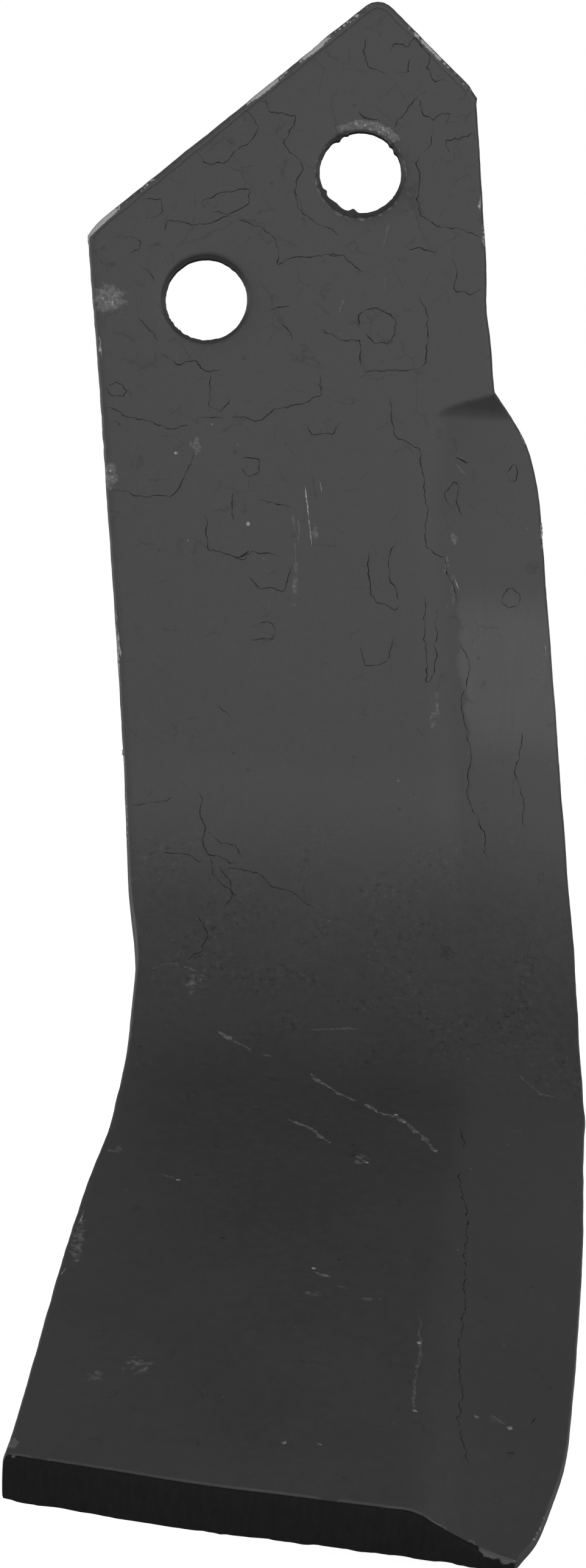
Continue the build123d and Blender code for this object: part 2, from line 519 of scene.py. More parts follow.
def sheared_profile(inset, front, back):
    """Rings of a sheared edge, as distances outward and depths: a quarter of an ellipse as wide as
    the inset over the front corner, a straight side and a small quarter circle at the back."""
    front_roll, back_roll = by_side(*front_rolls), by_side(*back_rolls)
    turn = np.linspace(0, math.pi / 2, profile_front + 1)[1:, None]
    share = np.linspace(0, 1, profile_side + 2)[1:-1, None]
    turn_in = np.linspace(math.pi / 2, 0, profile_back)[:, None]
    out = [inset * np.sin(turn), inset + 0 * share, inset - back_roll * (1 - np.sin(turn_in))]
    down = [
        front + front_roll * (1 - np.cos(turn)),
        (front + front_roll) * (1 - share) + (back - back_roll) * share,
        back - back_roll * (1 - np.cos(turn_in)),
    ]
    return np.concatenate(out), np.concatenate(down)


def mill_profile(inset, front, back):
    """Rings of the bar's own edge as it left the mill: a bulge shaped like a squarish ellipse, whose
    sine and cosine are raised to a power below one, widest past the middle of the thickness."""
    widest = front + mill_widest * (back - front)
    turn = np.linspace(0, math.pi / 2, profile_front + profile_side + 1)[1:, None]
    turn_in = np.linspace(math.pi / 2, 0, profile_back)[:, None]
    out = [
        inset * np.sin(turn) ** mill_squareness,
        inset - mill_turn_in * inset * (1 - np.sin(turn_in) ** mill_squareness),
    ]
    down = [
        widest - (widest - front) * np.cos(turn) ** mill_squareness,
        back - (back - widest) * (1 - np.cos(turn_in) ** mill_squareness),
    ]
    return np.concatenate(out), np.concatenate(down)


border_inset = eased(by_side(top_inset, right_inset, end_inset, left_inset), 1)
faces = border_inset, lattice_front.ravel()[border], lattice_back.ravel()[border]
mill_share = eased((border_side == LEFT).astype(float), 2)
end_share = eased((border_side == END).astype(float), 1)
both_profiles = zip(sheared_profile(*faces), mill_profile(*faces))
strip_out, strip_depth = [a * (1 - mill_share) + b * mill_share for a, b in both_profiles]
strip_out += end_lean * (strip_depth / thickness - 0.5) * end_share
strip_out += by_side(*roughness) * rough_line(len(border), 5, 2)
ring_down = np.linspace(0, 1, len(strip_out))[:, None]
ring_up = np.linspace(1, 0, len(strip_out))[:, None]
strip_out += end_tearing * ring_down**3 * (border_side == END) * rough_line(len(border), 6, 1)
strip_out += end_chipping * ring_up**3 * (border_side == END) * rough_line(len(border), 7, 1)
normal_u, normal_s = outward(border_u, border_s)
strip_u = border_u + normal_u * strip_out
strip_s = border_s + normal_s * strip_out
print("edge strip", len(strip_out), "rings of", len(border), "points")

# %% [markdown]
# Each hole was punched from the front. The punch pulls the rim in, shears a smooth land and then
# tears the rest out a little wider, with burrs. That is again a profile carried along a path, here
# a circle, with the burrs added as a function of the angle.

# %% Hole collars
angles_per_cell = 2
front_lands, back_lands = (10.25, 10.0, 9.8), (10.15, 10.3)
roll_start, roll_end, roll_depth, roll_rings = 9.3, 8.75, 0.5, 4
land_radius, land_lip, land_start, land_end = 8.2, 0.12, 1.4, 4.0
lip_depth, burr_depth, low_start, low_end, breakout_end = 0.95, 0.3, 3.5, 7.0, 7.7
raggedness, back_flare = 0.05, 0.1


def block_loop(first_row, last, first_column, final):
    """Lattice points round a left-out block, in order, as indices."""
    return np.concatenate([
        first_row * column_count + np.arange(first_column, final),
        np.arange(first_row, last) * column_count + final,
        last * column_count + np.arange(final, first_column, -1),
        np.arange(last, first_row, -1) * column_count + first_column,
    ])


def burr(angle, *lumps):
    """Burrs round a hole: a sum of humps, each a height, an angle in degrees and a width."""
    total = np.zeros_like(angle)
    for height, place, width in lumps:
        gap = (np.degrees(angle) - place + 180) % 360 - 180
        total += height * np.exp(-((gap / width) ** 2))
    return total


def angles_round(loop, centre_u, centre_s):
    """Angles of a block's points about the hole's centre, with others shared out between them."""
    corner = np.arctan2(lattice_s.ravel()[loop] - centre_s, lattice_u.ravel()[loop] - centre_u)
    corner = np.unwrap(corner)
    closed = np.append(corner, corner[0] + math.copysign(2 * math.pi, corner[-1] - corner[0]))
    places = np.arange(len(loop) * angles_per_cell) / angles_per_cell
    return np.interp(places, np.arange(len(closed)), closed)


def punched_rings(breakout):
    """Radii and depths inside a punched hole: a quarter circle for the rolled rim, the sheared land,
    and the breakout, which gets wider by its own amount towards the back."""
    rings = []
    for turn in np.linspace(0, math.pi / 2, roll_rings):
        rolled = roll_end + (roll_start - roll_end) * (1 - math.sin(turn))
        rings.append((rolled, roll_depth * (1 - math.cos(turn))))
    rings.append((land_radius + land_lip, lip_depth))
    rings += [(land_radius, land_start), (land_radius, land_end)]
    for share in (0.15, 0.4, 0.7, 1.0):
        rings.append((land_radius + breakout * share, land_end + (breakout_end - land_end) * share))
    return rings + [(land_radius + breakout + back_flare, thickness)]


def collar(hole, loop, breakout, rises, lumps, seed):
    """Points of a punched hole, ring by ring, with a flat land round it in front and behind. The
    punch went in aslant: the rim, the wall and its low end each stand a little higher. The wall's
    radius is less by the burrs and by seeded noise."""
    rim_rise, wall_rise, low_rise = rises
    centre_u, centre_s = on_pattern(*hole)
    angle = angles_round(loop, centre_u, centre_s)
    ragged = rough_line(len(angle), seed, 1)
    burrs = burr(tilt - angle, *lumps)
    rolled = front_depth(centre_u + roll_start * np.cos(angle), centre_s + roll_start * np.sin(angle))
    rings = [(radius, None) for radius in front_lands] + punched_rings(breakout)
    rings += [(radius, None) for radius in back_lands]
    points = []
    for number, (radius, depth) in enumerate(rings):
        punched = depth is not None
        wall = smooth_step(burr_depth, land_start, depth) if punched else 0.0
        low = smooth_step(low_start, low_end, depth) if punched else 0.0
        around = radius - wall * (burrs + raggedness * ragged * (0.4 + low))
        u = centre_u + around * np.cos(angle)
        s = centre_s + around * np.sin(angle) - rim_rise * punched - wall_rise * wall - low_rise * low
        if punched and depth <= lip_depth:
            w = rolled + depth
        elif punched and depth < thickness:
            w = np.full_like(u, depth)
        else:
            w = (front_depth if number < len(front_lands) else back_depth)(u, s)
        points.append((u, s, w))
    return np.array(points).transpose(1, 0, 2)


upper_lumps = [(0.75, -92, 5), (0.45, -142, 4), (0.35, -120, 9), (0.5, 132, 4)]
upper_lumps += [(0.35, 40, 4), (0.25, 52, 3), (0.25, 118, 2.5)]
lower_lumps = [(0.12, 60, 5), (0.1, -70, 6)]
hole_walls = ((0.2, (0.1, 0.5, 0.8), upper_lumps, 21), (0.3, (0.33, 0.0, 0.95), lower_lumps, 22))
collars = []
for (hole, *block), wall in zip(hole_blocks, hole_walls):
    loop = block_loop(*block)
    collars.append((loop, collar(hole, loop, *wall)))
print("collars of", [len(loop) * angles_per_cell for loop, _ in collars], "points round")

# %% [markdown]
# The lattices, the strip and the collars share their border points, so they close into one skin.
# Faces are rows of indices made with whole arrays. A collar has twice as many points round as the
# block it fills, so faces with five corners join the two. Points inside the blocks are dropped.

# %% Skin
lattice_size = lattice_u.size
index = np.arange(lattice_size).reshape(lattice_u.shape)


def cells(grid, closed=False):
    """Quads between the neighbours of a grid of indices, closed round its second direction or not."""
    if closed:
        grid = np.concatenate([grid, grid[:, :1]], axis=1)
    corners = grid[:-1, :-1], grid[:-1, 1:], grid[1:, 1:], grid[1:, :-1]
    return np.stack(corners, axis=-1).reshape(-1, 4)


grids = [
    (lattice_u, lattice_s, lattice_front),
    (lattice_u, lattice_s, lattice_back),
    (strip_u, strip_s, strip_depth),
    *(points for _, points in collars),
]
pattern = np.concatenate([np.stack([part.ravel() for part in grid], axis=1) for grid in grids])
_, _, strip_first, *collar_firsts = np.cumsum([0] + [grid[0].size for grid in grids[:-1]])

keep = np.ones((row_count - 1, column_count - 1), bool)
for _, top, bottom, left, right in hole_blocks:
    keep[top:bottom, left:right] = False
front_cells = cells(index)[keep.ravel()]
back_cells = front_cells[:, ::-1] + lattice_size
strip_index = strip_first + np.arange(strip_u.size).reshape(strip_u.shape)
strip_grid = np.concatenate([border[None], strip_index, border[None] + lattice_size])
strip_cells = cells(strip_grid, closed=True)
side_of_cell = np.tile(border_side, len(strip_grid) - 1)

wall_cells, fans = [], []
for (loop, (u, _, _)), first in zip(collars, collar_firsts):
    grid = first + np.arange(u.size).reshape(u.shape)
    wall_cells.append(cells(grid, closed=True))
    for ring, offset in ((grid[0], 0), (grid[-1], lattice_size)):
        fine = ring.reshape(-1, angles_per_cell)
        fan = [loop + offset, np.roll(loop, -1) + offset, np.roll(fine[:, 0], -1)]
        fans.append(np.stack(fan + [fine[:, 1], fine[:, 0]], axis=1))
quads = np.concatenate([front_cells, back_cells, strip_cells] + wall_cells)
fans = np.concatenate(fans)

used = np.zeros(len(pattern), bool)
used[quads.ravel()] = True
used[fans.ravel()] = True
renumber = np.cumsum(used) - 1
quads, fans, pattern = renumber[quads], renumber[fans], pattern[used]
skin = bent(*pattern.T) * MM
print("skin", len(skin), "points,", len(quads), "quads and", len(fans), "fans")

# %% [markdown]
# Besides its place on the pattern, every point carries what the finish needs to know about the
# nearest edge. Paint wears off along edges, and where the shear rolled the edge over, the roll is
# painted paler as a painted highlight and its groove carries a line of painted shade. So a point gets
# its distance from the outline, how far down the edge it lies from the front to the back, whether
# that edge is the sheared top, how worn the edge is there, and how far it lies past the crease of
# the bevel. The shader reads them by name.

# %% Marks of the nearest edge
rim_limit = 12.0
far_behind_crease = -20.0
rows_at_once = 20
top_humps = [(0.8, -15.5, 3.5), (0.9, -6, 2.5), (0.3, 1, 4), (0.6, 15.5, 4)]
top_humps += [(1.2, -47, 3), (0.3, -38, 3), (0.4, 27, 5)]
right_humps = [(0.7, -107, 8), (0.5, -92, 4), (0.55, -68, 4), (0.7, 207, 7)]
right_humps += [(0.5, -42, 12), (0.45, -5, 18), (0.4, 60, 40), (0.4, 150, 30)]
end_humps = [(1.6, -43.5, 2), (0.6, -35, 1.5), (0.6, -10.3, 1.2), (0.6, -2.9, 1.2)]
end_humps += [(0.6, 9.7, 1.2), (0.6, 16.8, 1.2), (0.6, 35, 8)]
left_humps = [(0.9, -101, 3), (0.6, -55, 5), (0.7, -88, 6), (1.1, 109, 3)]
left_humps += [(1.1, 137, 7), (1.0, -18, 12), (0.8, 15, 14), (0.6, 180, 15)]
border_shear = eased((border_side == TOP).astype(float), 1)
border_wear = np.choose(border_side, [
    0.4 + bumps(border_u, *top_humps),
    bumps(border_s, *right_humps),
    0.1 + bumps(border_u, *end_humps),
    bumps(border_s, *left_humps),
])


def past_crease(u, s):
    """How far a point lies to the right of the bevel's crease, on the shank or below the bend line."""
    x, z = on_shank(u, s)
    on_bar = x - (right_x(np.minimum(z, swell_foot_height)) - bevel_width)
    return np.where(s < 0, on_bar, u - bevel_right_u(np.maximum(s, 0)) + bevel_width)


lattice_rim, lattice_shear, lattice_wear = np.zeros((3, lattice_size))
flat_u, flat_s = lattice_u.ravel(), lattice_s.ravel()
for first in range(0, lattice_size, column_count * rows_at_once):
    some = slice(first, first + column_count * rows_at_once)
    gap = np.hypot(flat_u[some, None] - border_u, flat_s[some, None] - border_s)
    nearest = gap.argmin(axis=1)
    lattice_rim[some] = np.minimum(gap.min(axis=1) + border_inset[nearest], rim_limit)
    lattice_shear[some] = border_shear[nearest]
    lattice_wear[some] = border_wear[nearest]
collar_points = sum(u.size for _, (u, _, _) in collars)


def on_all_points(front_values, back_values, strip_values, collar_value):
    """One value for every point kept: lattice front and back, then the strip, then the collars."""
    round_strip = np.broadcast_to(strip_values, strip_out.shape).ravel()
    parts = [front_values, back_values, round_strip, np.full(collar_points, collar_value)]
    return np.concatenate(parts)[used]


behind = pattern[:, 2] > thickness - 0.5 * edge_thickness
strip_rim = np.maximum(border_inset - strip_out, 0)
edge_marks = {
    "rim": on_all_points(lattice_rim, lattice_rim, strip_rim, rim_limit),
    "down": on_all_points(np.zeros(lattice_size), np.ones(lattice_size), ring_down, 0.0),
    "shear": on_all_points(lattice_shear, lattice_shear, border_shear, 0.0),
    "wear": on_all_points(lattice_wear, lattice_wear, border_wear, 0.0),
    "bevel_side": np.where(behind, far_behind_crease, past_crease(pattern[:, 0], pattern[:, 1])),
}
print("largest marks", {title: round(float(values.max()), 2) for title, values in edge_marks.items()})

# %% [markdown]
# Now the arrays become a mesh. The attributes go with the points. The sheared end and the walls of
# the holes were never rolled smooth, so their faces get the second material, rough sheared steel,
# which is painted near black as painted shade where they turn from the light.

# %% Mesh
wall_first_ring, wall_last_ring = 8, 14


def new_piece(name, points, corners, sizes):
    """A mesh object from points in metres, a flat list of corners and the number of each face."""
    mesh = bpy.data.meshes.new(name)
    mesh.vertices.add(len(points))
    mesh.vertices.foreach_set("co", points.astype(np.float32).ravel())
    mesh.loops.add(len(corners))
    mesh.loops.foreach_set("vertex_index", corners.astype(np.int32))
    mesh.polygons.add(len(sizes))
    starts = np.concatenate([[0], sizes.cumsum()[:-1]])
    mesh.polygons.foreach_set("loop_start", starts.astype(np.int32))
    mesh.update(calc_edges=True)
    mesh.validate()
    mesh.shade_smooth()
    piece = bpy.data.objects.new(name, mesh)
    bpy.context.scene.collection.objects.link(piece)
    return piece


def face_outwards(piece):
    """Turn all faces outwards, and print how many edges are open and what the piece holds."""
    shape = bmesh.new()
    shape.from_mesh(piece.data)
    bmesh.ops.recalc_face_normals(shape, faces=shape.faces)
    open_edges = sum(1 for edge in shape.edges if not edge.is_manifold)
    volume = shape.calc_volume(signed=True) / MM**3 / 1000
    shape.to_mesh(piece.data)
    shape.free()
    print(piece.name, "open edges", open_edges, "volume", round(volume, 2), "cm3")


wall_ring = np.concatenate([np.repeat(np.arange(len(u) - 1), u.shape[1]) for _, (u, _, _) in collars])
# faces that get the near-black steel: painted shade on the sheared end and the hole walls
shaded_sheared_face = np.concatenate([
    np.zeros(len(front_cells) + len(back_cells), bool),
    side_of_cell == END,
    (wall_ring >= wall_first_ring) & (wall_ring < wall_last_ring),
    np.zeros(len(fans), bool),
])
face_sizes = np.repeat([4, 5], [len(quads), len(fans)])
blade = new_piece("forged_blade", skin, np.concatenate([quads.ravel(), fans.ravel()]), face_sizes)
blade.data.polygons.foreach_set("material_index", shaded_sheared_face.astype(np.int32))
place = blade.data.attributes.new("pattern", "FLOAT_VECTOR", "POINT")
place.data.foreach_set("vector", pattern.astype(np.float32).ravel())
for title, values in edge_marks.items():
    attribute = blade.data.attributes.new(title, "FLOAT", "POINT")
    attribute.data.foreach_set("value", values.astype(np.float32))
face_outwards(blade)
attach(blade, "root")
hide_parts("blade")

# %% [markdown]
# Under the paint lies mill scale, a brittle skin that cracked and flaked when the bar was rolled.
# The edges of the flakes show through as thin dark lines that wander and stop, their dark painted
# shade in the grooves. They could be a texture only, but the clear ones have their own places. So
# each is a stroke: a very low ridge carried along a line through a few places on the pattern, with
# seeded noise to make it ragged.

# %% Strokes on the surface
stroke_step, stroke_sink = 0.35, 0.03
crest_share, end_share_of_width, taper_steps = 0.6, 0.15, 4
usual_width, narrowest, widest_share = 0.75, 0.25, 1.5
shaky_window, broad_window = [0.5, 0.5, 0.5], np.full(7, 0.38)


def stroke(places, width, height, wander, seed):
    """Points and faces of one ridge. Its line runs evenly through the places and is moved aside by
    smoothed noise. Across the line lie four points: two feet in the steel and two on the crest.
    The width swells and shrinks with noise too, and falls to almost nothing at the ends."""
    corners = np.array(places)
    along = np.concatenate([[0], np.hypot(*np.diff(corners, axis=0).T).cumsum()])
    count = max(int(along[-1] / stroke_step), 5)
    run = np.linspace(0, along[-1], count)
    draw = np.random.default_rng(seed)
    shaky = np.convolve(draw.normal(0, 1, count + 2), shaky_window, "valid")
    broad = np.convolve(draw.normal(0, 1, count + 6), broad_window, "valid")
    u, s = [np.interp(run, along, part) for part in corners.T]
    ahead_u, ahead_s = np.gradient(u), np.gradient(s)
    ahead = np.hypot(ahead_u, ahead_s)
    side_u, side_s = -ahead_s / ahead, ahead_u / ahead
    aside = wander * (0.5 * shaky + broad)
    to_end = np.minimum(run, along[-1] - run)
    ends = np.minimum(1, to_end / (taper_steps * stroke_step) + end_share_of_width)
    swelling = np.clip(usual_width + 0.35 * shaky, narrowest, widest_share)
    half = 0.5 * width * ends * swelling
    across = np.array([-1.0, -crest_share, crest_share, 1.0]) * half[:, None] + aside[:, None]
    all_u = u[:, None] + side_u[:, None] * across
    all_s = s[:, None] + side_s[:, None] * across
    depth = front_depth(all_u, all_s) - np.array([-stroke_sink, height, height, -stroke_sink])
    index = np.arange(count * 4).reshape(count, 4)
    faces = np.concatenate([cells(index, closed=True), index[:1], index[-1:, ::-1]])
    return np.stack([all_u.ravel(), all_s.ravel(), depth.ravel()], axis=1), faces


def strokes(name, lines, width, height, wander, seed):
    """One piece made of many strokes."""
    points, faces, start = [], [], 0
    for number, places in enumerate(lines):
        line_points, line_faces = stroke(places, width, height, wander, seed + number)
        points.append(line_points)
        faces.append(line_faces + start)
        start += len(line_points)
    points, faces = np.concatenate(points), np.concatenate(faces)
    piece = new_piece(name, bent(*points.T) * MM, faces.ravel(), np.full(len(faces), 4))
    face_outwards(piece)
    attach(piece, "root")
    print(name, len(lines), "strokes,", len(faces), "faces")
    return piece


print("strokes of one point every", stroke_step, "mm")

# %% [markdown]
# These are the clear flake edges, region by region, as they lie in the photograph: each line is a
# few places on the pattern, read off to half a millimetre. Four small dents are drawn in the same
# way, a little wider.

# %% Flake edges in the mill scale
flakes_left_of_holes = [
    [(-20.5, -128), (-17, -125), (-17.5, -123), (-20.5, -120.5), (-23.5, -117.5), (-28, -117),
     (-29.5, -119)],
    [(-16, -131), (-15.5, -128), (-10, -127.5), (-10, -126.5), (-12, -122), (-8, -117),
     (-9, -114.5), (-8.5, -109), (-5.5, -106.5), (0, -104)],
    [(-27, -108), (-27.5, -109.5), (-25, -111), (-21, -112), (-18.5, -112), (-18.5, -109.5),
     (-22.5, -107), (-26, -107.5)],
    [(-40, -109), (-36, -109.5), (-35.5, -107), (-38, -105.5)],
    [(-35, -103), (-34.5, -105), (-32, -105.5), (-29, -104.5), (-25.5, -105.5), (-22, -107)],
    [(-20.5, -106), (-15, -104.5), (-13.5, -103.5), (-12, -100.5), (-12, -97.5), (-8, -99.5),
     (0.5, -100)],
    [(-42, -102), (-39.5, -101), (-40, -99), (-42, -98)],
    [(-40, -96.5), (-38, -95), (-36.5, -93)],
    [(-39.5, -85.5), (-37, -83.5), (-35, -81.5)],
    [(-34.5, -79), (-31, -76.5), (-27, -77.5), (-25.5, -75.5), (-22.5, -76)],
    [(-24.5, -75), (-24.5, -68.5), (-22, -67.5), (-20.5, -70.5)],
    [(-45, -71.5), (-43, -72.5), (-41, -71), (-41.5, -69.5), (-44, -70), (-45, -71.5)],
    [(-44.5, -67.5), (-41, -66), (-37, -65), (-33, -63.5), (-28.5, -64.5)],
]
flakes_at_the_peak = [
    [(8.5, -141), (9, -143), (11, -143), (11.5, -142.5), (13, -144.5), (16.5, -141), (16, -138.5),
     (17.5, -136), (20, -136)],
    [(12.5, -140), (12.5, -137), (10, -137.5)],
    [(4, -144), (3.5, -139.5), (4, -138), (7.5, -136.5)],
    [(2.5, -129), (5, -128), (7.5, -127.5)],
    [(10, -126), (14, -132), (15, -131.5), (15.5, -129), (17.5, -128), (19, -129.5), (21, -129.5),
     (20.5, -127)],
    [(17.5, -126), (17.5, -123), (16, -121.5)],
    [(21, -121.5), (20.5, -124), (25, -124.5), (25.5, -125.5), (26.5, -124.5)],
]
flakes_right_of_holes = [
    [(15, -121), (16, -109), (19.5, -107), (23, -106.5), (28.5, -105)],
    [(13, -102.5), (14, -101.5), (16, -102.5), (19, -101.5), (20, -101.5)],
    [(23, -101), (24, -94), (27, -93.5), (29, -94.5)],
    [(4.5, -85.5), (4.5, -88.5), (8, -89.5), (11, -89), (12, -87.5), (12, -84.5), (10.5, -83),
     (8, -83), (6, -84.5)],
    [(-2.5, -85.5), (1, -83), (5.5, -83.5), (5.5, -81), (5.5, -78)],
    [(16.5, -93), (18.5, -88.5), (19, -79), (17, -78)],
    [(-13.5, -88), (-12, -89), (-9, -89)],
    [(-11, -86), (-9, -84.5), (-8.5, -82.5)],
    [(-2, -100), (1, -100), (5, -97)],
    [(-25.5, -66.5), (-21.5, -66.5)],
    [(-20, -66.5), (-14, -66.5), (-11.5, -68.5), (-5.5, -70), (-2, -72), (-2.5, -76.5)],
    [(6, -77), (17, -77.5)],
    [(-5.5, -66), (-3.5, -64), (0.5, -64), (2, -66.5)],
]
flakes_below_holes = [
    [(-43, -51.5), (-39, -50), (-31.5, -50), (-28.5, -54.5), (-27, -59.5)],
    [(-24, -47), (-23, -39.5), (-18.5, -39), (-16, -38.5), (-14.5, -40), (-9.5, -39.5)],
    [(-18.5, -51.5), (-19, -47.5), (-18.5, -45.5)],
    [(-14.5, -35), (-12.5, -32.5), (-8, -32.5), (-5.5, -37.5)],
    [(-13.5, -50), (-10.5, -50), (-7, -49)],
    [(9, -41), (9.5, -34), (11, -31), (14.5, -30), (15.5, -30.5)],
    [(8, -22), (9.5, -18.5), (12, -18.5), (14, -19.5), (14.5, -23.5)],
    [(14.5, -43), (13, -40.5), (13.5, -36), (15.5, -31.5)],
    [(-17.5, -58.5), (-16, -59), (-14, -58.5), (-14, -56), (-16, -55.5), (-17.5, -56.5)],
    [(-14, -25), (-10, -26), (-9, -25), (-9.5, -22.5), (-14, -22)],
]
flakes_along_the_crease = [
    [(11.5, -72), (13, -64.5), (18, -62), (19.5, -54.5), (20, -45), (20.5, -42.5), (24, -41),
     (27.5, -32)],
    [(28, -23.5), (30.5, -19), (29, -12.5), (29.5, -7.5), (31, -4), (31.5, 8.5), (33, 10.5)],
    [(20.5, -32.5), (21, -24.5), (22, -15.5), (23, -17.5), (23.5, -26.5), (23, -30)],
    [(24.5, -51), (23.5, -53.5), (25.5, -56), (26, -55.5), (26, -52.5), (27.5, -49)],
    [(36, -33), (37, -35), (38.5, -35.5), (40, -34), (39.5, -32), (37.5, -31.5), (36, -33)],
    [(36, -58), (36.5, -60), (37.5, -60.5), (38.5, -59), (38, -57), (36.5, -57)],
    [(41.5, -6.5), (41.5, -1), (40.5, 1), (41.5, 4.5), (42.5, 8), (42.5, 11), (43, 12.5)],
    [(33, 11), (35, 14.5), (34.5, 17.5), (36, 19.5)],
]
flakes_on_the_bend = [
    [(-23, 9), (-22, 10), (-22, 13.5), (-21, 16.5), (-21.5, 18.5), (-20, 21), (-17.5, 22),
     (-14.5, 23.5)],
    [(-20, 21.5), (-19, 25.5), (-16.5, 28), (-14, 29.5)],
    [(-16, 24), (-10.5, 24.5), (-7.5, 27), (-3.5, 28.5), (1.5, 31.5)],
    [(-36, 12), (-27.5, 10.5)],
    [(-29.5, 21.5), (-25, 21.5), (-20.5, 23)],
    [(-20.5, -9), (-17, -7)],
    [(-20.5, 17), (-18, 19), (-15, 19.5), (-13.5, 22)],
    [(-18, 24), (-15.5, 26.5), (-15, 30), (-16, 32.5)],
    [(-21.5, 34), (-19.5, 38), (-20.5, 43), (-23.5, 45)],
]
cracks_on_the_foot = [
    [(30, 92), (30.5, 99.5)],
    [(29, 107.5), (29.5, 116), (30.5, 120.5), (29.5, 136.5), (29, 154), (28, 159.5), (27.5, 169),
     (28, 176), (27, 186), (28, 191.5), (28.5, 195)],
]
flake_lines = flakes_left_of_holes + flakes_at_the_peak + flakes_right_of_holes
flake_lines += flakes_below_holes + flakes_along_the_crease + flakes_on_the_bend + cracks_on_the_foot
flake_edges = strokes("flake_edges", flake_lines, 0.27, 0.012, 0.2, 40)

dent_lines = [
    [(25.5, -61), (28, -60)],
    [(-18, -39), (-17, -38.5), (-16, -39), (-15, -40)],
    [(39, 180.5), (40, 178)],
    [(34.5, 189.5), (36, 189)],
]
dents = strokes("dents", dent_lines, 0.7, 0.015, 0.12, 60)

# %% [markdown]
# Stones and other blades have scratched the paint: down to bright steel in a few places, and only
# pale and dull in more. These are strokes as well, straighter. The blows that ended a scratch are
# chips, strokes so short that they are spots, and the outline has a few bright nicks.

# %% Scratches
shank_scratches = [
    [(-4.5, -53.5), (-2.5, -41.5)],
    [(-1.5, -54.5), (-1, -52.5)],
    [(26, -37.5), (27.5, -34)],
]
foot_scratches = [
    [(2, 74), (6, 79.5), (10.5, 83.5)],
    [(12, 84), (14.5, 87.5), (18, 89), (20.5, 92), (23, 96.5), (25, 101.5)],
    [(-2, 92), (1.5, 94.5), (6, 100)],
    [(10.5, 104), (12.5, 107)],
    [(3.5, 145), (6.5, 146.5)],
    [(-16, 62.5), (-13, 65), (-9.5, 68)],
]
pale_marks = [
    [(9.5, -96.5), (9.5, -93.5)],
    [(10, -107.5), (9, -102)],
    [(2, -92), (0.5, -88)],
    [(-6.5, -48.5), (-6, -44)],
    [(-5.5, -47), (-5, -41)],
    [(-6, -42.5), (-5.5, -37)],
    [(25.5, -38), (26.5, -30.5)],
    [(25.5, -59.5), (28.5, -56.5)],
    [(21, 157.5), (21.5, 165.5), (20.5, 174.5), (20, 185.5)],
    [(-24.5, 114.5), (-21, 116)],
    [(2, 152.5), (5, 152.5)],
    [(7, 149.5), (9.5, 150)],
    [(11, 153), (14, 153)],
    [(32, 180), (35, 182)],
    [(41.5, 67), (46, 71.5), (49.5, 71.5)],
    [(-30.5, 47.5), (-25.5, 45.5)],
    [(-24, 46), (-21, 47.5), (-18.5, 49)],
    [(1.5, 61), (7.5, 60), (11.5, 60)],
    [(-8, 68.5), (-5.5, 69.5)],
]
edge_nicks = [
    [(-47, -81.5), (-46.5, -77)],
    [(-41, -27), (-40.5, -24.5)],
    [(-40.5, -22.5), (-40, -20), (-40, -17.5)],
    [(-38.5, 1), (-38, 4)],
    [(-36.9, 128.5), (-37.4, 133)],
    [(-38.6, 147.5), (-39, 150)],
    [(27.7, -113.5), (28, -110)],
    [(28.5, -105.5), (28.8, -103)],
    [(38, -67), (39.5, -64.5)],
    [(43.5, -49), (44, -43.5)],
    [(45.8, -24.5), (46, -22)],
]
chip_places = [(25, 101), (12.5, 106.5), (-21, 116), (3.5, 144), (-0.5, 196), (35.5, 182.5)]
chip_places += [(20, 185.5), (5, 196), (30, 182), (-15.5, -45.5), (-30.5, -59), (21, 165.5)]
chip_places += [(18, 88), (19.5, 90.5)]
chip_lines = [[(u - 0.4, s), (u + 0.4, s + 0.3)] for u, s in chip_places]
scratches = strokes("scratches", shank_scratches, 0.34, 0.015, 0.05, 90)
foot_marks = strokes("foot_marks", foot_scratches, 1.25, 0.012, 0.14, 100)
pale_strokes = strokes("pale_strokes", pale_marks, 0.7, 0.01, 0.12, 110)
chips = strokes("chips", chip_lines, 3.2, 0.02, 0.03, 131)
nicks = strokes("nicks", edge_nicks, 0.55, 0.012, 0.15, 150)

# %% [markdown]
# The finishes are node trees. A few short helpers keep the wiring readable: each adds one node,
# sets or links its inputs, and gives back its output, so that a recipe reads like a sum.

